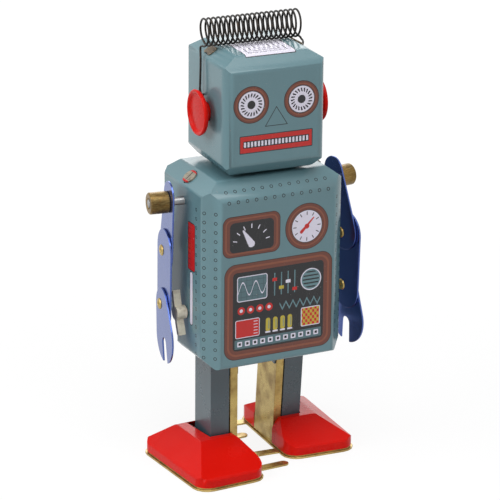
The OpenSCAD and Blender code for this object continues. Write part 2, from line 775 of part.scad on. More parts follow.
// Inner plate: wide below the body, a narrow strap above that clears the winding arbor
module leg_plate(low) {
    difference() {
        union() {
            along_x(-leg_in - leg_t, -leg_in) {
                polygon(rounded([[-leg_front, low], [plate_back, low], [plate_back, 52],
                    [2, 58], [1.7, 44], [0.4, 42.4], [-leg_front, 42.4]], 0.6));
                translate([0, pivot_z]) circle(r = 3.4);
                polygon([[1.7, 50], [plate_back, 50], [3, pivot_z + 1.6], [-2.6, pivot_z - 2]]);
            }
            // front flange
            translate([-leg_in - 2.3, -leg_front, low]) cube([2.3, leg_t, leg_top - low - 3]);
        }
        // slot for the channel's folded strip
        translate([-leg_in - 1, -leg_front + leg_t, clinch_z]) cube([2, leg_t, clinch_w]);
        bar([0, pivot_z], leg_stud_r + run_gap, -leg_in - 2, -leg_in + 2);
        // slot for the crank pin
        along_x(-leg_in - 2, -leg_in + 2) {
            for (z = crank_slot) translate([0, z]) circle(r = crank_slot_r);
            translate([-crank_slot_r, crank_slot[0]])
                square([2 * crank_slot_r, crank_slot[1] - crank_slot[0]]);
        }
    }
}

// Foot

foot_rim = 3.4;
foot_high = 8.6;
crown = 7.5;               // half the length of the flat round the leg
crown_out = 4.4;           // how far that flat stands out past the leg
pad = 0.4;

// Foot seen from above; toe is the distance of its front edge from the seam plane
foot_in = leg_in - 0.2;
function foot_plan(toe) =
    [[-foot_out, -toe], [-foot_in, -toe], [-foot_in, foot_len - toe], [-foot_out, foot_len - toe]];

// Turns a foot about its own middle, so that its heel stands outwards
module splayed(toe) {
    middle = [-(foot_in + foot_out) / 2, foot_len / 2 - toe, 0];
    translate(middle) rotate([0, 0, foot_splay]) translate(-middle) children();
}

// Low rim all round, and four slopes up to a flat top round the leg; the hips run to the corners
module foot_mass(toe, leg_y, t) {
    back = foot_len - toe;
    intersection() {
        translate([0, 0, sole_t + pad - (t > 0 ? 1 : 0)]) linear_extrude(20)
            polygon(rounded(inset(foot_plan(toe), t), 4 - t, 4));
        along_x(-big, 0) polygon(rounded(inset([[-toe, -5], [back, -5], [back, foot_rim],
            [leg_y + crown, foot_high], [leg_y - crown, foot_high], [-toe, foot_rim]], t), 1.4 - t));
        along_y(-big, big) polygon(rounded(inset([[-foot_out, -5], [-foot_in, -5],
            [-foot_in, foot_rim + 2], [-foot_in - 1.9, foot_high], [-leg_out - crown_out, foot_high],
            [-foot_out, foot_rim]], t), 1.4 - t));
    }
}

// Red shell with an opening that the leg stands in, wider at its outer rear corner
module foot_shell(toe, leg_y) {
    difference() {
        splayed(toe) difference() {
            foot_mass(toe, leg_y, 0);
            foot_mass(toe, leg_y, tin);
        }
        translate([0, leg_y, -1]) linear_extrude(20) polygon([[-leg_out - 0.4, -leg_front - 0.4],
            [-0.5, -leg_front - 0.4], [-0.5, plate_back + 0.8], [-leg_out - 1.8, plate_back + 0.8]]);
    }
}

// Brass sole: flat plate, pressed pad that the shell sits on, two prongs towards the other foot
module sole(toe) {
    prong_len = 11.2;
    prong_w = 3;
    prong_places = [7.2, 31];  // from the toe
    splayed(toe) {
        linear_extrude(sole_t) {
            polygon(rounded(inset(foot_plan(toe), -0.5), 4.5, 4));
            for (place = prong_places) translate([-leg_in, place - toe]) {
                translate([-2, -prong_w / 2]) square([prong_len + 2 - prong_w / 2, prong_w]);
                translate([prong_len - prong_w / 2, 0]) circle(d = prong_w);
            }
        }
        translate([0, 0, sole_t]) linear_extrude(pad)
            polygon(rounded(inset(foot_plan(toe), 0.25), 3.8, 4));
    }
}

leg_low = sole_t + pad;
foot_of_left = (pivot_z - 5) * tan(left_lean);

module leg_channel_right() { color(leg_grey) leg_channel(leg_low); }

module leg_plate_right() { color(brass) leg_plate(leg_low); }

module foot_shell_right() { color(tin_red) foot_shell(right_toe, 0); }

module sole_right() { color(brass) sole(right_toe); }

// Cuts the leaning leg off level with the sole
module on_sole() {
    intersection() {
        children();
        translate([-big / 2, -big / 2, leg_low]) cube([big, big, big]);
    }
}

module leg_channel_left() {
    color(leg_grey) on_left() on_sole() leg_frame(left_lean) leg_channel(leg_low - 1);
}

module leg_plate_left() {
    color(brass) on_left() on_sole() leg_frame(left_lean) leg_plate(leg_low - 1);
}

module foot_shell_left() { color(tin_red) on_left() foot_shell(left_toe, foot_of_left); }

module sole_left() { color(brass) on_left() sole(left_toe); }

// Arms

// Frame of one shoulder: origin where the stud leaves the body, local +X outwards, toed
module arm_frame(side) {
    translate([side * half_w, 0, shoulder_z]) rotate([0, 0, side > 0 ? arm_toe : 180 - arm_toe])
        children();
}

// Link between two round ends, drawn in [forward, up]
module link(p, r, q, s) {
    d = norm(q - p);
    dir = atan2(q.y - p.y, q.x - p.x);
    a = acos((r - s) / d);
    translate(p) circle(r = r);
    translate(q) circle(r = s);
    polygon([p + r * [cos(dir + a), sin(dir + a)], p + r * [cos(dir - a), sin(dir - a)],
        q + s * [cos(dir - a), sin(dir - a)], q + s * [cos(dir + a), sin(dir + a)]]);
}

// Places of the elbow and the wrist in [forward, up] from the shoulder
function elbow_at(side) =
    let (a = side < 0 ? right_arm_swing : left_arm_swing) arm_pitch * [sin(a), -cos(a)];
function wrist_at(side) = elbow_at(side) + [0, -arm_pitch];

// Moves into place in the arm's plane: forward and up from the shoulder
module in_arm(side, at, turn) {
    forward = side < 0 ? 1 : -1;
    translate([0, forward * at.x, at.y]) rotate([forward * turn, 0, 0]) children();
}

module plate_2d(side) { mirror([side < 0 ? 0 : 1, 0]) children(); }

module upper_arm(side) {
    swing = side < 0 ? right_arm_swing : left_arm_swing;
    color(tin_navy) arm_frame(side) in_arm(side, [0, 0], swing)
        translate([arm_gap, 0, 0]) rotate([90, 0, 90]) linear_extrude(arm_t) plate_2d(side)
        difference() {
            link([0.2, 1.9], 4.3, [1.6, -15.2], 5.7);
            circle(d = stud_d);
            translate([0, -arm_pitch]) circle(r = rivet_r);
        }
}

module forearm(side) {
    color(tin_navy) arm_frame(side) in_arm(side, elbow_at(side), 0)
        translate([arm_gap + layer, 0, 0]) rotate([90, 0, 90]) linear_extrude(arm_t) plate_2d(side)
        difference() {
            link([2.2, 0.6], 6.2, [1.8, -16.3], 6);
            circle(r = rivet_r + run_gap);
            translate([0, -arm_pitch]) circle(r = rivet_r);
        }
}

// Hand: palm that ends in two blunt fingers with a slot between them
module hand(side) {
    color(tin_navy) arm_frame(side) in_arm(side, wrist_at(side), side < 0 ? right_hand_turn : 0)
        translate([arm_gap + 2 * layer, 0, 0]) rotate([90, 0, 90]) linear_extrude(arm_t)
        plate_2d(side) difference() {
            link([1.7, -0.5], 5.2, [2.3, -9.4], 7.5);
            circle(r = rivet_r + run_gap);
            translate([1.6, -11.2]) circle(d = 3.4);
            polygon([[-0.1, -11.2], [3.3, -11.2], [3.5, -20], [-0.6, -20]]);
        }
}

// Tubular rivet through two neighbouring plates, the inner one in layer n
module arm_rivet(side, at, n) {
    x0 = arm_gap + n * layer;
    x1 = x0 + layer + arm_t + 0.05;
    color(brass) arm_frame(side) in_arm(side, at, 0) translate([x0, 0, 0]) rotate([0, 90, 0])
        rotate_extrude($fn = 32) polygon([[0.45, -rivet_head_t], [rivet_head_r - 0.2, -rivet_head_t],
            [rivet_head_r, 0], [rivet_r, 0], [rivet_r, x1 - x0], [rivet_head_r, x1 - x0],
            [rivet_head_r - 0.2, x1 - x0 + 0.25], [0.8, x1 - x0 + rivet_head_t],
            [0.45, x1 - x0 + 0.1]]);
}

// Steel stud that turns in the body's side and the frame, with a collar of its own inside
module stud(side) {
    color(steel) arm_frame(side) rotate([0, 90, 0]) {
        translate([0, 0, -stud_in]) cylinder(h = stud_in + arm_gap + arm_t + collar_len, d = stud_d);
        translate([0, 0, 0.1 - stud_in]) cylinder(h = 1.1, d = 4.2);
    }
}

module collar(side) {
    color(brass) arm_frame(side) translate([arm_gap + arm_t, 0, 0]) rotate([0, 90, 0])
        rotate_extrude($fn = 48) polygon([[stud_d / 2, 0], [collar_d / 2 - 0.2, 0],
            [collar_d / 2, 0.2], [collar_d / 2, collar_len - 0.3], [collar_d / 2 - 0.3, collar_len],
            [stud_d / 2 + 0.5, collar_len], [stud_d / 2, collar_len - 0.5]]);
}

// The model

body_front_shell();
body_back_shell();
bottom_plate();
chassis_frame();
neck_collar();
head_front_shell();
head_back_shell();
ear_right();
ear_left();
ear_rivets();
antenna_spring();
antenna_tabs();
motor_plate_right();
motor_plate_left();
motor_pillars();
leg_pivots();
mainspring();
winding_key();
winding_arbor();
ratchet_wheel();
great_wheel();
ratchet_click();
crank_axle();
crank_pinion();
crank_disc_right();
crank_disc_left();
third_wheel();
third_pinion();
escape_wheel();
escape_pinion();
verge();
leg_channel_right();
leg_plate_right();
foot_shell_right();
sole_right();
leg_channel_left();
leg_plate_left();
foot_shell_left();
sole_left();
stud(-1);  // stud_right
collar(-1);  // collar_right
upper_arm(-1);  // upper_arm_right
arm_rivet(-1, elbow_at(-1), 0);  // elbow_rivet_right
forearm(-1);  // forearm_right
arm_rivet(-1, wrist_at(-1), 1);  // wrist_rivet_right
hand(-1);  // hand_right
stud(1);  // stud_left
collar(1);  // collar_left
upper_arm(1);  // upper_arm_left
arm_rivet(1, elbow_at(1), 0);  // elbow_rivet_left
forearm(1);  // forearm_left
arm_rivet(1, wrist_at(1), 1);  // wrist_rivet_left
hand(1);  // hand_left
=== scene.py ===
import json
import math

import bmesh
import bpy
from mathutils import Matrix, Vector


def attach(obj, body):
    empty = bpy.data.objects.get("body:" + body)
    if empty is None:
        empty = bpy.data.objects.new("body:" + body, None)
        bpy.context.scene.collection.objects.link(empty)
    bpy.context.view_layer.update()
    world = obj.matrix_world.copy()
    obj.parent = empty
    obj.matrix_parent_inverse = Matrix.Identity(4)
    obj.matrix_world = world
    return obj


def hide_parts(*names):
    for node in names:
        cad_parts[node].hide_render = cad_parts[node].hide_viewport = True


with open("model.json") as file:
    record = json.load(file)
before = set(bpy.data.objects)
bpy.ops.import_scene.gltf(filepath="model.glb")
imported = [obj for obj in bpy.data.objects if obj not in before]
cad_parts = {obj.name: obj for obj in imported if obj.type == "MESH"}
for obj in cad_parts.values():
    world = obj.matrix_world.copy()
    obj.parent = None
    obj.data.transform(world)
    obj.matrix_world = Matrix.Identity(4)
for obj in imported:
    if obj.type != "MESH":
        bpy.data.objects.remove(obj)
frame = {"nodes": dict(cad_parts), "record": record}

scene = bpy.context.scene
scene.view_settings.view_transform = "Standard"
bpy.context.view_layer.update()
mm = 0.001


# camera at the photograph's angle
cameraValues = {
    "place": (-0.39070, -0.77267, 0.36446),
    "aim": (-0.00263, -0.00351, 0.06238),
    "roll": 0.50,                    # degrees
    "lens": 233.4, "sensor": 36,     # millimetres
    "clip": (0.02, 20),
}


def makeCamera(values):
    place, aim = Vector(values["place"]), Vector(values["aim"])
    back = (place - aim).normalized()
    side = Vector((0, 0, 1)).cross(back).normalized()
    up = back.cross(side)
    turn = math.radians(values["roll"])
    right = side * math.cos(turn) + up * math.sin(turn)
    axes = Matrix((right, back.cross(right), back)).transposed()
    data = bpy.data.cameras.new("photoCamera")
    data.lens = values["lens"]
    data.sensor_width = values["sensor"]
    data.clip_start, data.clip_end = values["clip"]
    camera = bpy.data.objects.new("photoCamera", data)
    camera.matrix_world = Matrix.Translation(place) @ axes.to_4x4()
    scene.collection.objects.link(camera)
    scene.camera = camera


makeCamera(cameraValues)
print("camera placed")


class Wire:                  # a node socket that Python expressions can use
    def __init__(self, tree, socket=None):
        self.tree = tree
        self.socket = socket

    def node(self, kind, settings=None, inputs=None, output=0):
        made = self.tree.nodes.new("ShaderNode" + kind)
        for key, value in (settings or {}).items():
            setattr(made, key, value)
        for key, value in (inputs or {}).items():
            if isinstance(value, Wire):
                self.tree.links.new(value.socket, made.inputs[key])
            else:
                made.inputs[key].default_value = value
        return Wire(self.tree, made.outputs[output])

    def math(self, operation, *values):
        return self.node("Math", {"operation": operation}, dict(enumerate(values)))

    def vector(self, operation, *values, output=0):
        return self.node("VectorMath", {"operation": operation}, dict(enumerate(values)), output)

    def __add__(self, other):
        return self.math("ADD", self, other)

    __radd__ = __add__

    def __sub__(self, other):
        return self.math("SUBTRACT", self, other)

    def __rsub__(self, other):
        return self.math("SUBTRACT", other, self)

    def __mul__(self, other):
        return self.math("MULTIPLY", self, other)

    __rmul__ = __mul__

    def __truediv__(self, other):
        return self.math("DIVIDE", self, other)

    def __lt__(self, other):
        return self.math("LESS_THAN", self, other)

    def __gt__(self, other):
        return self.math("GREATER_THAN", self, other)

    def __abs__(self):
        return self.math("ABSOLUTE", self)


def ink(hexName):            # a hex colour made linear
    parts = [int(hexName[i:i + 2], 16) / 255 for i in (1, 3, 5)]
    return tuple(c / 12.92 if c < 0.04045 else ((c + 0.055) / 1.055) ** 2.4 for c in parts) + (1,)


def over(under, mask, colour):               # one ink printed over another where the mask is 1
    return mask.node("Mix", {"data_type": "RGBA"}, {0: mask, 6: under, 7: colour}, 2)


def noise(place, scale, detail=2.0, roughness=0.5, stretch=None):
    if stretch:
        place = place.vector("MULTIPLY", place, stretch)
    return place.node("TexNoise", None, {"Vector": place, "Scale": scale, "Detail": detail,
                                         "Roughness": roughness})


def outputs(wire, names):                    # further outputs of the node behind a wire
    return [Wire(wire.tree, wire.socket.node.outputs[name]) for name in names]


def splitPlace(place):
    return outputs(place.node("SeparateXYZ", None, {0: place}), range(3))


def between(value, low, high):               # 0 below low, 1 above high, straight in between
    span = high - low
    return value.node("Math", {"operation": "MULTIPLY_ADD", "use_clamp": True},
                      {0: value, 1: 1 / span, 2: -low / span})


def startMaterial(name):
    material = bpy.data.materials.new(name)
    material.use_nodes = True
    material.node_tree.nodes.clear()
    tree = Wire(material.node_tree)
    place = tree.node("TexCoord", output=3)              # Object coordinates, in millimetres
    return material, tree, place.node("VectorMath", {"operation": "SCALE"}, {0: place, 3: 1 / mm})


def closeMaterial(tree, inputs, bump, bumpDistance):
    normal = bump.node("Bump", None, {"Strength": 0.6, "Distance": bumpDistance * mm, "Height": bump})
    linkOutput(tree, tree.node("BsdfPrincipled", None, dict(inputs, Normal=normal)))


def linkOutput(tree, surface, kind="ShaderNodeOutputMaterial"):
    out = tree.tree.nodes.new(kind)
    tree.tree.links.new(surface.socket, out.inputs[0])


# the print's shapes are signed distances in millimetres on a flat drawing
def flat(u, v):
    return u.node("CombineXYZ", None, {0: u, 1: v})


def filled(depth, soft=0.07):                # 1 inside a shape and 0 outside it
    return depth.node("Math", {"operation": "MULTIPLY_ADD", "use_clamp": True},
                      {0: depth, 1: -1 / soft, 2: 0.5})


def outlined(depth, width):
    return filled(abs(depth) - width / 2)


def disc(p, centre, radius):
    return p.vector("DISTANCE", p, (*centre, 0), output=1) - radius


def slab(p, centre, half, radius=0.2):       # rectangle with rounded corners, wider than half its outline
    shrunk = (half[0] - radius, half[1] - radius, 0)
    away = p.vector("SUBTRACT", p.vector("ABSOLUTE", p.vector("SUBTRACT", p, (*centre, 0))), shrunk)
    return away.vector("LENGTH", away.vector("MAXIMUM", away, (0, 0, 0)), output=1) - radius


def stroke(p, start, end, width, endWidth=None):   # straight line with round ends, tapered or not
    run = (end[0] - start[0], end[1] - start[1], 0)
    fromStart = p.vector("SUBTRACT", p, (*start, 0))
    along = p.vector("DOT_PRODUCT", fromStart, run, output=1) / (run[0] ** 2 + run[1] ** 2)
    along = between(along, 0, 1)
    foot = p.node("VectorMath", {"operation": "SCALE"}, {0: run, 3: along})
    distance = p.vector("DISTANCE", fromStart, foot, output=1)
    if endWidth is None:
        return distance - width / 2
    return distance - (along * ((endWidth - width) / 2) + width / 2)


def repeated(value, first, pitch, count):    # folds a coordinate onto the nearest of evenly spaced places
    cell = (value - first) / pitch
    cell = cell.math("ROUND", cell).math("MAXIMUM", cell.math("ROUND", cell), 0)
    cell = cell.math("MINIMUM", cell, count - 1)
    return value - first - cell * pitch


def spokes(p, centre, count, turn=0.0):      # folds the drawing round a centre onto one of count spokes
    q = p.vector("SUBTRACT", p, (*centre, 0))
    along, across = splitPlace(q)[:2]
    angle = along.math("ARCTAN2", across, along) - turn
    step = 2 * math.pi / count
    angle = angle - angle.math("ROUND", angle / step) * step
    radius = q.vector("LENGTH", q, output=1)
    return flat(radius * angle.math("COSINE", angle), radius * angle.math("SINE", angle))


inks = {name: ink(value) for name, value in {
    "teal": "#688b93", "tealDark": "#54727a",
    "brown": "#713a2a", "brownEdge": "#3a2019", "brownLit": "#a8603f",
    "black": "#121318", "white": "#eeeafa", "red": "#cc1a14", "redDark": "#7e0f10",
    "yellow": "#c9b53a", "line": "#22282c", "bareTin": "#8c8a86",
}.items()}


paintValues = {
    "mottle": 0.05,          # share by which the paint's colour wanders
    "chips": 0.76,           # higher leaves fewer bare specks
    "scratches": 0.35,       # how strongly hairline scratches show
    "roughness": 0.22,
    "gloss": 0.5,            # specular level of the varnish
    "ior": 1.5,
    "metallic": 0.0,         # 1 for clear lacquer over bright tin
    "coat": 0.0, "coatRoughness": 0.12,
    "dent": 0.05,            # depth of the bump in millimetres
}


def wornPaint(place, colour, values):
    # large soft stains, fine mottling, thin scratches and bare specks over whatever is printed
    wide = noise(place, 0.06, 3)
    fine = noise(place, 1.4, 4, 0.65)
    shade = between(wide, 0.25, 0.75) * 0.7 + between(fine, 0.3, 0.7) * 0.3
    value = shade * (2 * values["mottle"]) + (1 - values["mottle"])
    toned = place.node("HueSaturation", None, {"Value": value, "Color": colour})
    specks = between(noise(place, 1.1, 2, 0.5), values["chips"], values["chips"] + 0.02)
    scratchRoom = between(noise(place, 0.08, 1), 0.52, 0.6)
    lines = noise(place, 0.5, 2, 0.5, (6.0, 6.0, 0.35))
    scratches = between(abs(lines - 0.5), 0.004, 0.0) * scratchRoom * values["scratches"]
    marks = specks.math("MAXIMUM", specks, scratches)
    colour = over(toned, marks, inks["bareTin"])
    rough = between(fine, 0.2, 0.8) * 0.03 + between(wide, 0.3, 0.7) * 0.08
    rough = rough + values["roughness"] - 0.05
    height = noise(place, 0.12, 1) - marks * 0.05
    return colour, rough + marks * 0.3, height


def paintMaterial(name, colour, printed=None, **changes):
    values = dict(paintValues, **changes)
    material, tree, place = startMaterial(name)
    if printed:
        colour = printed(place, colour)
    shown, rough, height = wornPaint(place, colour, values)
    closeMaterial(tree, {"Base Color": shown, "Roughness": rough, "Metallic": values["metallic"],
                         "Specular IOR Level": values["gloss"], "IOR": values["ior"],
                         "Coat Weight": values["coat"], "Coat Roughness": values["coatRoughness"]},
                  height, values["dent"])
    return material


bodyPrint = {
    "rivetRowLow": 81.7, "rivetRowHigh": 84.2, "rivetFirst": -15.4, "rivetPitch": 2.8, "rivetCount": 12,
    "columnTop": 78.6, "columnPitch": 2.66, "columnCount": 17, "columnA": 6.4, "columnB": 3.0,
    "sideColumn": -8.4, "rivetDot": 0.42, "slopeStretch": 1.41,
    "frontFace": -15.4, "sideFace": 21.2, "backStep": 0.8,
    "leftGauge": (-8.45, 71.7), "leftGaugeHalf": (8.8, 5.9),
    "leftWindow": (-8.35, 71.4), "leftWindowHalf": (6.8, 4.4), "leftPivot": (-8.5, 69.1),
    "rightGauge": (8.8, 71.7), "rightGaugeRadius": 6.7, "rightDiscRadius": 4.75,
    "panel": (0.1, 49.4), "panelHalf": (16.8, 14.1), "windowHalf": (14.2, 11.6),
    "levelBar": (-5.4, 66.8), "levelBarHalf": (2.2, 7.0),
    "levelStem": (-5.4, 51.5), "levelStemHalf": (0.9, 7.9),
}
diagonal = math.sqrt(0.5)

# the made-up machinery behind the window, as (centre, half size) about the window's middle
panelPrint = {
    "screen": ((-8.2, 6.6), (4.6, 3.6)), "wave": (1.55, 1.9, 0.42),
    "sliderFirst": -1.2, "sliderPitch": 2.1, "sliderFoot": 3.4, "sliderTop": 9.8,
    "sliderKnobs": ((8.0, "red"), (5.4, "yellow"), (6.9, "white"), (4.4, "red")),
    "vent": (10.2, 6.4), "ventRadius": 3.1,
    "lampFirst": -11.6, "lampPitch": 2.9, "lampCount": 4, "lampRadius": 1.15,
    "pipe": ((6.8, 0.1), (6.4, 1.5)),
    "tank": ((-9.6, -5.2), (3.7, 2.6)),
    "fuseFirst": -3.2, "fusePitch": 2.3, "fuseCount": 4, "fuseHeight": -5.1,
    "drum": ((10.2, -4.6), (2.9, 2.7)), "drumCells": (1.4, 1.1),
    "keyFirst": -12.0, "keyPitch": 2.4, "keyCount": 11, "keyHeight": -9.7,
}


def rivetDot(p, colour):                     # small open circle about the drawing's origin
    return over(colour, outlined(disc(p, (0, 0), bodyPrint["rivetDot"]), 0.2), inks["line"])


def printFrame(colour, p, centre, half, radius, band):   # brown moulding round a window
    ring = slab(p, centre, half, radius)
    colour = over(colour, filled(ring), inks["brown"])
    colour = over(colour, outlined(ring, 0.22), inks["brownEdge"])
    lit = slab(p, centre, (half[0] - band * 0.45, half[1] - band * 0.45), radius * 0.8)
    return over(colour, outlined(lit, band * 0.22) * 0.45, inks["brownLit"])


def printLeftGauge(colour, p, v):
    colour = printFrame(colour, p, v["leftGauge"], v["leftGaugeHalf"], 2.2, 2.0)
    colour = over(colour, filled(slab(p, v["leftWindow"], v["leftWindowHalf"], 1.4)), inks["black"])
    ticks = spokes(p, v["leftPivot"], 14, math.radians(12))
    upper = splitPlace(p)[1] > v["leftPivot"][1] + 0.6
    colour = over(colour, filled(stroke(ticks, (4.7, 0), (5.7, 0), 0.3)) * upper, inks["white"])
    tip = (v["leftPivot"][0] - 2.5, v["leftPivot"][1] + 4.0)
    return over(colour, filled(stroke(p, v["leftPivot"], tip, 2.1, 0.5)), inks["white"])


def printRightGauge(colour, p, v):
    centre = v["rightGauge"]
    ring = disc(p, centre, v["rightGaugeRadius"])
    colour = over(colour, filled(ring), inks["brown"])
    colour = over(colour, outlined(ring, 0.22), inks["brownEdge"])
    face = disc(p, centre, v["rightDiscRadius"])
    colour = over(colour, outlined(face - 0.9, 0.4) * 0.45, inks["brownLit"])
    colour = over(colour, filled(face), inks["white"])
    colour = over(colour, outlined(face, 0.2), inks["line"])
    ticks = spokes(p, centre, 12)
    colour = over(colour, filled(stroke(ticks, (3.4, 0), (4.2, 0), 0.26)), inks["black"])
    colour = over(colour, filled(stroke(p, (centre[0] - 1.7, centre[1] - 1.5),
                                        (centre[0] + 2.1, centre[1] + 2.3), 1.0, 0.35)), inks["red"])
    return over(colour, filled(disc(p, centre, 0.75)), inks["red"])


def printPanel(colour, p, v):
    centre = v["panel"]
    colour = printFrame(colour, p, centre, v["panelHalf"], 3.4, 2.6)
    colour = over(colour, filled(slab(p, centre, v["windowHalf"], 1.2)), inks["black"])
    u, w = splitPlace(p)[:2]
    x, z = u - centre[0], w - centre[1]
    return printMachinery(colour, x, z, panelPrint)


def printMachinery(colour, x, z, v):
    q = flat(x, z)
    # screen with a wave and a faint grid
    screen = slab(q, *v["screen"], 0.6)
    colour = over(colour, filled(screen), inks["tealDark"])
    grid = outlined(repeated(x, -11.7, 1.75, 5), 0.1)
    grid = grid.math("MAXIMUM", grid, outlined(repeated(z, 4.2, 1.6, 4), 0.1))
    colour = over(colour, grid * filled(screen) * 0.6, inks["line"])
    ripple, swing, width = v["wave"]
    wave = z - v["screen"][0][1] - x.math("SINE", x * ripple) * swing
    colour = over(colour, outlined(wave, width) * filled(screen), inks["white"])
    colour = over(colour, outlined(screen, 0.25), inks["white"])
    # sliders on slots
    for i, (level, knob) in enumerate(v["sliderKnobs"]):
        left = v["sliderFirst"] + v["sliderPitch"] * i
        slot = stroke(q, (left, v["sliderFoot"]), (left, v["sliderTop"]), 0.34)
        colour = over(colour, filled(slot), inks["teal"])
        colour = over(colour, filled(slab(q, (left, level), (0.75, 0.5), 0.2)), inks[knob])
    # round vent
    vent = disc(q, v["vent"], v["ventRadius"])
    colour = over(colour, filled(vent), inks["teal"])
    slats = outlined(repeated(z, 4.2, 1.1, 5), 0.42)
    colour = over(colour, slats * filled(vent + 0.5), inks["black"])
    colour = over(colour, outlined(vent, 0.3), inks["white"])
    # row of lamps
    lampX = flat(repeated(x, v["lampFirst"], v["lampPitch"], v["lampCount"]), z)
    colour = over(colour, filled(disc(lampX, (0, 0.2), v["lampRadius"])), inks["red"])
    colour = over(colour, filled(disc(lampX, (0, 0.2), 0.5)), inks["white"])
    # zigzag of pipe
    pipe = z + 0.1 - (abs(repeated(x, 1.3, 2.2, 6)) - 0.55) * 1.9
    colour = over(colour, outlined(pipe, 0.75) * filled(slab(q, *v["pipe"], 0.3)), inks["teal"])
    # tank with its level marks
    tank = slab(q, *v["tank"], 0.4)
    colour = over(colour, filled(tank), inks["red"])
    colour = over(colour, outlined(tank, 0.2), inks["white"])
    marks = flat(x, repeated(z, -7.0, 0.9, 5))
    colour = over(colour, filled(stroke(marks, (-7.6, 0), (-6.5, 0), 0.2)), inks["white"])
    # yellow fuses in a rack
    fuse = flat(repeated(x, v["fuseFirst"], v["fusePitch"], v["fuseCount"]), z)
    colour = over(colour, filled(slab(fuse, (0, v["fuseHeight"]), (0.7, 2.0), 0.65)), inks["yellow"])
    colour = over(colour, filled(slab(fuse, (0.28, v["fuseHeight"]), (0.2, 1.3), 0.2)) * 0.6, inks["teal"])
    colour = over(colour, filled(slab(fuse, (0, v["fuseHeight"] - 2.2), (0.8, 0.25), 0.1)), inks["white"])
    # chequered drum
    drum = slab(q, *v["drum"], 0.3)
    cellX, cellZ = x * v["drumCells"][0], z * v["drumCells"][1]
    cells = cellX.math("FLOOR", cellX) + cellZ.math("FLOOR", cellZ)
    odd = abs(cells.math("MODULO", cells, 2))
    colour = over(colour, filled(drum), inks["yellow"])
    colour = over(colour, odd * filled(drum), inks["red"])
    colour = over(colour, outlined(drum, 0.25), inks["white"])
    # strip of square keys along the foot
    height = v["keyHeight"]
    colour = over(colour, filled(slab(q, (0, height), (13.6, 1.35), 0.2)), inks["tealDark"])
    keys = flat(repeated(x, v["keyFirst"], v["keyPitch"], v["keyCount"]), z)
    colour = over(colour, filled(slab(keys, (0, height), (0.75, 0.75), 0.15)), inks["white"])
    return over(colour, filled(slab(keys, (0, height), (0.38, 0.38), 0.1)), inks["line"])


def bodyArtwork(place, colour):
    v = bodyPrint
    x, y, z = splitPlace(place)
    front = flat(x, z)
    # two rows along the slope and the edge under it
    row = repeated(x, v["rivetFirst"], v["rivetPitch"], v["rivetCount"])
    colour = rivetDot(flat(row, z - v["rivetRowLow"]), colour)
    colour = rivetDot(flat(row, (z - v["rivetRowHigh"]) * v["slopeStretch"]), colour)
    # columns on the flattened corners
    lowest = v["columnTop"] - v["columnPitch"] * (v["columnCount"] - 1)
    column = repeated(z, lowest, v["columnPitch"], v["columnCount"])
    for corner in ((abs(x) + y) * diagonal, (abs(x) - y + v["backStep"]) * diagonal):
        for across in (v["columnA"], v["columnB"]):
            colour = rivetDot(flat(corner - across, column), colour)
    # a column and a level bar on each side
    printed = rivetDot(flat(y - v["sideColumn"], column), colour)
    side = flat(y, z)
    bar = slab(side, v["levelBar"], v["levelBarHalf"], 0.7)
    printed = over(printed, filled(bar), inks["red"])
    marks = flat(y - v["levelBar"][0], repeated(z, 61.5, 1.5, 8))
    printed = over(printed, filled(stroke(marks, (0.6, 0), (2.0, 0), 0.2)), inks["redDark"])
    printed = over(printed, outlined(bar, 0.25), inks["line"])
    stem = slab(side, v["levelStem"], v["levelStemHalf"], 0.85)
    printed = over(printed, filled(stem), inks["white"])
    printed = over(printed, outlined(stem, 0.25), inks["line"])
    colour = over(colour, abs(x) > v["sideFace"], printed)
    # dials and panel on the front
    printed = printLeftGauge(colour, front, v)
    printed = printRightGauge(printed, front, v)
    printed = printPanel(printed, front, v)
    return over(colour, y < v["frontFace"], printed)


headTurn = -2.8              # degrees, as the CAD has it
headPrint = {
    "eye": 7.55, "eyeHeight": 108.8, "eyeRadius": 5.2, "eyeDisc": 3.9, "pupil": 1.2, "lashes": 20,
    "noseTop": 107.5, "noseFoot": 102.2, "noseHalf": 3.3,
    "mouth": 97.5, "mouthHalf": (10.9, 2.45), "teethHalf": (9.9, 1.0),
    "toothFirst": -9.35, "toothPitch": 1.04, "toothCount": 19, "toothHalf": (0.3, 0.72),
    "hatch": (-0.3, -5.9), "hatchHalf": (7.5, 5.9), "hatchSteps": (1.75, 1.4), "hatchDrift": 0.35,
    "frontFace": -14.7, "topFace": 121.3,
}


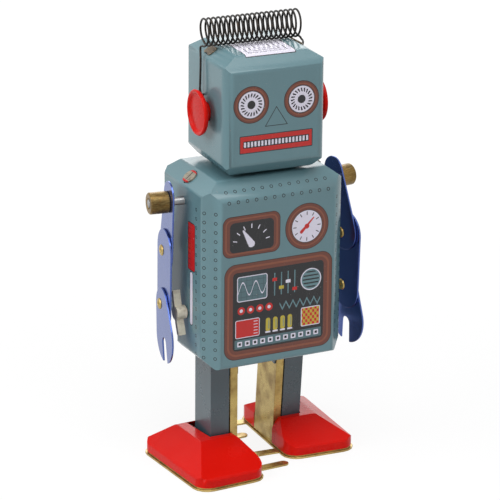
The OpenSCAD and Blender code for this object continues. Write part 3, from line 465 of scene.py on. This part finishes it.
def headArtwork(place, colour):
    v = headPrint
    straight = place.node("VectorRotate", {"rotation_type": "Z_AXIS"},
                          {"Vector": place, "Angle": -math.radians(headTurn)})
    x, y, z = splitPlace(straight)
    front = flat(x, z)
    eyes = flat(abs(x) - v["eye"], z - v["eyeHeight"])
    rim, white = disc(eyes, (0, 0), v["eyeRadius"]), disc(eyes, (0, 0), v["eyeDisc"])
    printed = over(colour, filled(rim), inks["brown"])
    printed = over(printed, outlined(rim, 0.25), inks["brownEdge"])
    printed = over(printed, outlined(rim + 0.75, 0.3) * 0.4, inks["brownLit"])
    printed = over(printed, filled(white), inks["white"])
    printed = over(printed, outlined(white, 0.22), inks["line"])
    lashes = spokes(eyes, (0, 0), v["lashes"])
    printed = over(printed, filled(stroke(lashes, (2.3, -0.1), (3.05, 0.12), 0.34, 0.46)), inks["black"])
    printed = over(printed, filled(disc(eyes, (0, 0), v["pupil"])), inks["black"])
    # nose, drawn as three strokes
    top, foot, half = v["noseTop"], v["noseFoot"], v["noseHalf"]
    folded = flat(abs(x), z)
    printed = over(printed, filled(stroke(folded, (0, top), (half, foot), 0.22)), inks["line"])
    printed = over(printed, filled(stroke(folded, (0, foot), (half, foot), 0.22)), inks["line"])
    # mouth and its teeth
    mouth = slab(front, (0, v["mouth"]), v["mouthHalf"])
    printed = over(printed, filled(mouth), inks["red"])
    printed = over(printed, outlined(mouth, 0.26), inks["line"])
    slot = slab(front, (0, v["mouth"]), v["teethHalf"])
    printed = over(printed, filled(slot), inks["black"])
    tooth = flat(repeated(x, v["toothFirst"], v["toothPitch"], v["toothCount"]), z)
    printed = over(printed, filled(slab(tooth, (0, v["mouth"]), v["toothHalf"], 0.12)), inks["white"])
    colour = over(colour, y < v["frontFace"], printed)
    # nested rectangles on top
    top = flat(x, y)
    hatch = slab(top, v["hatch"], v["hatchHalf"])
    printed = over(colour, filled(hatch), inks["white"])
    printed = over(printed, outlined(hatch, 0.24), inks["line"])
    for i in range(1, 4):
        half = [size - step * i for size, step in zip(v["hatchHalf"], v["hatchSteps"])]
        centre = (v["hatch"][0], v["hatch"][1] + v["hatchDrift"] * i)
        printed = over(printed, outlined(slab(top, centre, half), 0.24), inks["line"])
    return over(colour, z > v["topFace"], printed)


# bent tabs on the shoulders: bare metal halves on a red tongue
shoulderTab = {
    "height": 83.0, "outside": 16.5, "centre": (19.35, 85.1), "slope": (0.796, 0.605), "seam": 0.6,
    "bareHalf": 1.5, "slitHalf": 0.16, "bare": "#a49b8a", "stain": "#4a3f33",
}


def frameArtwork(place, colour):
    v = shoulderTab
    x, y, z = splitPlace(place)
    out, lift, across = abs(x) - v["centre"][0], z - v["centre"][1], y - v["seam"]
    along = out * v["slope"][0] - lift * v["slope"][1]        # down the shoulder's slope
    room = (z > v["height"]) * (abs(x) > v["outside"])
    stain = between(noise(place, 0.8, 3), 0.4, 0.65)
    bare = over(ink(v["bare"]), stain * 0.7, ink(v["stain"]))
    bare = over(bare, filled(abs(across) - v["slitHalf"]), inks["black"])
    return over(colour, room * filled(abs(along) - v["bareHalf"], 0.15), bare)


brassValues = {
    # material: (clean metal, large stains)
    "brassTin": ("#b59e60", "#6b4c28"),
    # collarBrass is brassTin's metal made darker all over: painted shade for the dark reflection on the
    # collar's side, besides its stains
    "collarBrass": ("#7d6334", "#2e2314"),
    "bareTab": ("#7d7265", "#33261c"),
}
brassMarks = {"spots": "#7a5524", "brushed": "#d8c07e", "metallic": 0.85}


def brassMaterial(name):
    material, tree, place = startMaterial(name)
    base, dark = brassValues[name]
    stain = between(noise(place, 0.13, 4, 0.62), 0.45, 0.66)
    spots = between(noise(place, 0.55, 3, 0.6), 0.56, 0.68)
    brushed = noise(place, 0.6, 3, 0.6, (1.0, 1.0, 9.0))
    colour = over(ink(base), stain * 0.7, ink(dark))
    colour = over(colour, spots * 0.4, ink(brassMarks["spots"]))
    colour = over(colour, between(brushed, 0.45, 0.7) * 0.2, ink(brassMarks["brushed"]))
    rough = between(brushed, 0.3, 0.7) * 0.16 + stain * 0.15 + 0.22
    closeMaterial(tree, {"Base Color": colour, "Roughness": rough, "Metallic": brassMarks["metallic"]},
                  brushed * 0.4, 0.02)
    return material


cloudyMetals = {
    # stains start at "from" in the noise and cover by "share"; depth is in millimetres
    "clockSteel": {"scale": 0.5, "base": "#9a9b9c", "stain": "#4c4740", "from": 0.45, "share": 0.5,
                   "roughness": 0.28, "bump": 0.3, "depth": 0.01, "shader": {"Metallic": 1.0}},
    "blackWire": {"scale": 0.9, "base": "#1d1c1b", "stain": "#5a4632", "from": 0.5, "share": 0.55,
                  "roughness": 0.3, "bump": 0.2, "depth": 0.01, "shader": {"Metallic": 0.6}},
    "keyMetal": {"scale": 0.45, "base": "#ded6c2", "stain": "#8a7a60", "from": 0.5, "share": 0.6,
                 "roughness": 0.3, "bump": 0.4, "depth": 0.03,
                 "shader": {"Metallic": 0.2, "Coat Weight": 0.3}},
}


def cloudyMaterial(name):
    v = cloudyMetals[name]
    material, tree, place = startMaterial(name)
    cloud = noise(place, v["scale"], 4, 0.6)
    colour = over(ink(v["base"]), between(cloud, v["from"], 0.75) * v["share"], ink(v["stain"]))
    rough = between(cloud, 0.3, 0.7) * 0.2 + v["roughness"]
    inputs = {"Base Color": colour, "Roughness": rough, **v["shader"]}
    closeMaterial(tree, inputs, cloud * v["bump"], v["depth"])
    return material


finishes = {
    "bodyTin": paintMaterial("bodyTin", inks["teal"], bodyArtwork),
    "headTin": paintMaterial("headTin", inks["teal"], headArtwork),
    "redTin": paintMaterial("redTin", ink("#d8160d"), mottle=0.06, chips=0.78, roughness=0.26, ior=1.2),
    "blueTin": paintMaterial("blueTin", ink("#4c61a2"), mottle=0.03, chips=0.8, roughness=0.2,
                             metallic=0.85, coat=0.25),
    "frameTin": paintMaterial("frameTin", ink("#c81812"), frameArtwork, chips=0.79, gloss=0.3),
    "greyTin": paintMaterial("greyTin", ink("#40555e"), chips=0.8, roughness=0.26, ior=1.6),
    "brass": brassMaterial("brassTin"),
    "shadedCollarBrass": brassMaterial("collarBrass"),
    "tab": brassMaterial("bareTab"),
    "steel": cloudyMaterial("clockSteel"),
    "wire": cloudyMaterial("blackWire"),
    "key": cloudyMaterial("keyMetal"),
}
print("finishes made:", len(finishes))


# sheet-metal pieces are merged copies of the CAD shapes, with eased and rounded edges
sheetPieces = {
    # CAD node: (finish, record slot, eased edge in mm, crease angle in degrees)
    "body_front_shell": ("bodyTin", "teal_tinplate", 0.0, 38),
    "body_back_shell": ("bodyTin", "teal_tinplate", 0.0, 38),
    "head_front_shell": ("headTin", "teal_tinplate", 0.0, 38),
    "head_back_shell": ("headTin", "teal_tinplate", 0.0, 38),
    "bottom_plate": ("redTin", "red_tinplate", 0.06, 30),
    "chassis_frame": ("frameTin", "red_tinplate", 0.08, 30),
    "neck_collar": ("wire", "black_steel", 0.1, 30),
    "antenna_tabs": ("tab", "clockwork_steel", 0.06, 30),
    "ear_right": ("redTin", "red_tinplate", 0.0, 50),
    "ear_left": ("redTin", "red_tinplate", 0.0, 50),
    "foot_shell_right": ("redTin", "red_tinplate", 0.0, 40),
    "foot_shell_left": ("redTin", "red_tinplate", 0.0, 40),
    "sole_right": ("brass", "brass", 0.08, 30),
    "sole_left": ("brass", "brass", 0.08, 30),
    "leg_channel_right": ("greyTin", "grey_tinplate", 0.16, 30),
    "leg_channel_left": ("greyTin", "grey_tinplate", 0.16, 30),
    "leg_plate_right": ("brass", "brass", 0.08, 30),
    "leg_plate_left": ("brass", "brass", 0.08, 30),
    "winding_key": ("key", "key_metal", 0.2, 30),
}
for side in ("right", "left"):
    for plate in ("upper_arm", "forearm", "hand"):
        sheetPieces[f"{plate}_{side}"] = ("blueTin", "blue_tinplate", 0.09, 30)
    sheetPieces[f"collar_{side}"] = ("shadedCollarBrass", "brass", 0.08, 30)
    sheetPieces[f"stud_{side}"] = ("steel", "clockwork_steel", 0.08, 30)

bodies = frame["record"]["behaviour"]["bodies"]
bodyOfNode = {name: body for body, names in bodies.items() for name in names}


def camel(name):
    first, *rest = name.split("_")
    return first + "".join(word.capitalize() for word in rest)


mergeValues = {"doubles": 0.002, "flat": 0.4}                        # millimetres, degrees
footRidge = {"width": 0.9, "segments": 3, "least": 14, "most": 70}   # millimetres, degrees


def ridgeWeights(bm):                        # 1 on the ridges of the outer skin, 0 elsewhere
    weights = []
    for edge in bm.edges:
        turn = math.degrees(edge.calc_face_angle_signed(0))
        rises = sorted(face.normal.z for face in edge.link_faces)
        outer = len(rises) == 2 and rises[0] > -0.02 and rises[1] > 0.2
        weights.append(1.0 if outer and footRidge["least"] < turn < footRidge["most"] else 0.0)
    return weights


def addBevel(piece, name, width, segments, limit):
    bevel = piece.modifiers.new(name, "BEVEL")
    bevel.width = width * mm
    bevel.segments = segments
    bevel.limit_method = limit
    bevel.use_clamp_overlap = True
    return bevel


def easedCopy(node, finish, ease, crease):
    mesh = frame["nodes"][node].data.copy()
    bm = bmesh.new()
    bm.from_mesh(mesh)
    bmesh.ops.remove_doubles(bm, verts=bm.verts, dist=mergeValues["doubles"] * mm)
    bmesh.ops.dissolve_limit(bm, angle_limit=math.radians(mergeValues["flat"]),
                             verts=bm.verts, edges=bm.edges)
    ridges = ridgeWeights(bm) if node.startswith("foot_shell") else None
    for face in bm.faces:
        face.smooth = True
    bm.to_mesh(mesh)
    bm.free()
    mesh.set_sharp_from_angle(angle=math.radians(crease))
    mesh.materials.clear()
    mesh.materials.append(finishes[finish])
    piece = bpy.data.objects.new(camel(node), mesh)
    scene.collection.objects.link(piece)
    if ridges:
        weights = mesh.attributes.new("bevel_weight_edge", "FLOAT", "EDGE")
        weights.data.foreach_set("value", ridges)
        addBevel(piece, "roundedRidge", footRidge["width"], footRidge["segments"], "WEIGHT")
    if ease:
        addBevel(piece, "easedEdge", ease, 2, "ANGLE").angle_limit = math.radians(crease)
    weighted = piece.modifiers.new("flatFaces", "WEIGHTED_NORMAL")
    weighted.keep_sharp = True
    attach(piece, bodyOfNode[node])
    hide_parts(node)


for node, (finish, slotName, ease, crease) in sheetPieces.items():
    easedCopy(node, finish, ease, crease)
print("sheet pieces made:", len(sheetPieces))


# antenna spring: one wire swept along its path by Geometry Nodes, sizes in millimetres
spring = {
    "turns": 20, "stepsPerTurn": 28, "radius": 3.8, "wire": 0.3, "length": 29.1,
    "centre": (-1.2, 0.0, 126.2), "headTop": 122.0, "tailDrop": 12.0, "side": 15.7, "sides": 10,
}


def springPath(v):
    x0, y0, z0 = v["centre"]
    low, side, top = z0 - v["radius"], v["side"], v["headTop"]
    foot = top - v["tailDrop"]
    # the tails' points as the CAD has them, from the hole in the head's side up to the coil
    right = [(side - 0.45, 4.5, foot - 1.5), (side + 0.25, 4.5, foot - 1.5), (side + 0.7, 4.4, foot),
             (side + 0.55, 4, top - 7), (side + 0.35, 3.1, top - 3.7), (side + 0.05, 2, top - 2.2),
             (side - 0.7, 0.9, top - 1.25), (side - 1.5, -0.1, top - 0.65),
             (x0 + v["length"] / 2 + 0.35, -0.6, low - 0.4)]
    left = [(0.45 - side, 0, foot - 1.5), (-0.25 - side, 0, foot - 1.5), (-0.7 - side, 0, foot),
            (-0.55 - side, 0, top - 6), (-0.5 - side, 0, top - 3), (-0.45 - side, 0.35, top - 1.2),
            (x0 - v["length"] / 2 - 0.2, 0.75, low - 0.4)]
    count = v["turns"] * v["stepsPerTurn"]
    coil = []
    for k in range(count + 1):
        turn = 2 * math.pi * k / v["stepsPerTurn"]
        coil.append((x0 - v["length"] / 2 + v["length"] * k / count,
                     y0 - v["radius"] * math.sin(turn), z0 - v["radius"] * math.cos(turn)))
    spin = Matrix.Rotation(math.radians(headTurn), 3, "Z")
    return [spin @ Vector(place) for place in left + coil + right[::-1]]


def addInput(group, name, kind, value):
    socket = group.interface.new_socket(name, in_out="INPUT", socket_type=kind)
    if value is not None:
        socket.default_value = value
    return socket.identifier


def wireSweep():
    group = bpy.data.node_groups.new("wireSweep", "GeometryNodeTree")
    addInput(group, "Path", "NodeSocketGeometry", None)
    names = {"Wire Radius": addInput(group, "Wire Radius", "NodeSocketFloat", 0.0003),
             "Sides": addInput(group, "Sides", "NodeSocketInt", 10),
             "Finish": addInput(group, "Finish", "NodeSocketMaterial", None)}
    group.interface.new_socket("Wire", in_out="OUTPUT", socket_type="NodeSocketGeometry")
    nodes, links = group.nodes, group.links
    enter = nodes.new("NodeGroupInput")
    leave = nodes.new("NodeGroupOutput")
    profile = nodes.new("GeometryNodeCurvePrimitiveCircle")
    sweep = nodes.new("GeometryNodeCurveToMesh")
    sweep.inputs["Fill Caps"].default_value = True
    smooth = nodes.new("GeometryNodeSetShadeSmooth")
    realize = nodes.new("GeometryNodeRealizeInstances")
    paint = nodes.new("GeometryNodeSetMaterial")
    links.new(enter.outputs["Sides"], profile.inputs["Resolution"])
    links.new(enter.outputs["Wire Radius"], profile.inputs["Radius"])
    links.new(enter.outputs["Path"], sweep.inputs["Curve"])
    links.new(profile.outputs["Curve"], sweep.inputs["Profile Curve"])
    links.new(sweep.outputs["Mesh"], smooth.inputs["Geometry"])
    links.new(smooth.outputs["Geometry"], realize.inputs["Geometry"])
    links.new(realize.outputs["Geometry"], paint.inputs["Geometry"])
    links.new(enter.outputs["Finish"], paint.inputs["Material"])
    links.new(paint.outputs["Geometry"], leave.inputs["Wire"])
    return group, names


def plainMesh(holder, name):                 # the evaluated modifier stack as an ordinary mesh
    bpy.context.view_layer.update()
    evaluated = holder.evaluated_get(bpy.context.evaluated_depsgraph_get())
    mesh = bpy.data.meshes.new_from_object(evaluated)
    holder.modifiers.clear()
    bpy.data.objects.remove(holder)
    mesh.name = name
    piece = bpy.data.objects.new(name, mesh)
    scene.collection.objects.link(piece)
    return piece


def makeSpring(v):
    points = springPath(v)
    curve = bpy.data.curves.new("antennaPath", "CURVE")
    curve.dimensions = "3D"
    line = curve.splines.new("POLY")
    line.points.add(len(points) - 1)
    for point, place in zip(line.points, points):
        point.co = (*(c * mm for c in place), 1)
    holder = bpy.data.objects.new("antennaPath", curve)
    scene.collection.objects.link(holder)
    group, names = wireSweep()
    modifier = holder.modifiers.new("wireSweep", "NODES")
    modifier.node_group = group
    modifier[names["Wire Radius"]] = v["wire"] * mm
    modifier[names["Sides"]] = v["sides"]
    modifier[names["Finish"]] = finishes["wire"]
    piece = plainMesh(holder, "antennaSpring")
    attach(piece, "torso")
    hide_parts("antenna_spring")


makeSpring(spring)
print("antenna spring made")


# CAD nodes whose shapes stay as they are
keptNodes = {
    "steel": ("motor_plate_right", "motor_plate_left", "motor_pillars", "leg_pivots", "mainspring",
              "winding_arbor", "ratchet_wheel", "ratchet_click", "crank_axle", "crank_disc_right",
              "crank_disc_left", "third_pinion", "escape_pinion", "verge"),
    "brass": ("great_wheel", "crank_pinion", "third_wheel", "escape_wheel", "elbow_rivet_right",
              "elbow_rivet_left", "wrist_rivet_right", "wrist_rivet_left"),
    "redTin": ("ear_rivets",),
}
for finish, names in keptNodes.items():
    for name in names:
        mesh = frame["nodes"][name].data
        mesh.materials.clear()
        mesh.materials.append(finishes[finish])
print("kept CAD nodes finished:", sum(len(names) for names in keptNodes.values()))


stageValues = {
    "floorSize": 6.0,                # metres, as the two radii
    # the floor is paler within nearRadius of the robot and darker further out: a painted pool of light
    # that throws bounce onto the robot's lower parts
    "floorPaintedPool": "#dcdcdc", "floorFar": "#8c8c8c", "nearRadius": 0.07, "farRadius": 0.25,
    "glowNear": 0.80, "glowFar": 0.97, "glowStrength": 1.08,
    "worldStrength": 0.2,
}
softboxes = {
    # name: (place, aim, side length, watts)
    "keyLight": ((-0.8, 0.05, 0.55), (0, 0, 0.07), 0.7, 4.8),
    "backLight": ((0.55, 0.8, 0.45), (0, 0, 0.06), 0.6, 2.2),
    "topLight": ((-0.05, -0.36, 0.82), (0, 0, 0.07), 0.7, 5.4),
}
plainWhite = (1, 1, 1, 1)


def backdropRays(tree):                      # 1 for rays that should meet a plain white background
    camera, *others = outputs(tree.node("LightPath"),
                              ("Is Camera Ray", "Is Glossy Ray", "Is Transmission Ray"))
    return between(camera + others[0] + others[1], 0, 1)


def makeFloor(values):
    half = values["floorSize"] / 2
    mesh = bpy.data.meshes.new("floor")
    mesh.from_pydata([(-half, -half, 0), (half, -half, 0), (half, half, 0), (-half, half, 0)], [],
                     [(0, 1, 2, 3)])
    floor = bpy.data.objects.new("floor", mesh)
    scene.collection.objects.link(floor)
    material = bpy.data.materials.new("paleFloor")
    material.use_nodes = True
    material.node_tree.nodes.clear()
    tree = Wire(material.node_tree)
    distance = tree.node("TexCoord", output=3)
    distance = distance.vector("LENGTH", distance, output=1)
    # paler near the robot and darker far off: a painted pool of light
    away = between(distance, values["nearRadius"], values["farRadius"])
    shade = over(ink(values["floorPaintedPool"]), away, ink(values["floorFar"]))
    lit = tree.node("BsdfDiffuse", None, {"Color": shade})
    glow = tree.node("Emission", None, {"Color": plainWhite, "Strength": values["glowStrength"]})
    share = away * (values["glowFar"] - values["glowNear"]) + values["glowNear"]
    linkOutput(tree, tree.node("MixShader", None, {0: backdropRays(tree) * share, 1: lit, 2: glow}))
    mesh.materials.append(material)


def makeWorld(values):
    world = bpy.data.worlds.new("studio")
    scene.world = world
    world.use_nodes = True
    world.node_tree.nodes.clear()
    tree = Wire(world.node_tree)
    ambient = tree.node("Background", None, {"Color": plainWhite, "Strength": values["worldStrength"]})
    backdrop = tree.node("Background", None, {"Color": plainWhite, "Strength": 1.0})
    mixed = tree.node("MixShader", None, {0: backdropRays(tree), 1: ambient, 2: backdrop})
    linkOutput(tree, mixed, "ShaderNodeOutputWorld")


def makeSoftbox(name, place, aim, size, power):
    data = bpy.data.lights.new(name, "AREA")
    data.shape = "RECTANGLE"
    data.size = data.size_y = size
    data.energy = power
    lamp = bpy.data.objects.new(name, data)
    back = (Vector(place) - Vector(aim)).normalized()
    lamp.matrix_world = Matrix.Translation(place) @ back.to_track_quat("Z", "Y").to_matrix().to_4x4()
    scene.collection.objects.link(lamp)


makeFloor(stageValues)
makeWorld(stageValues)
for name, values in softboxes.items():
    makeSoftbox(name, *values)
print("stage and lights made:", len(softboxes), "softboxes")
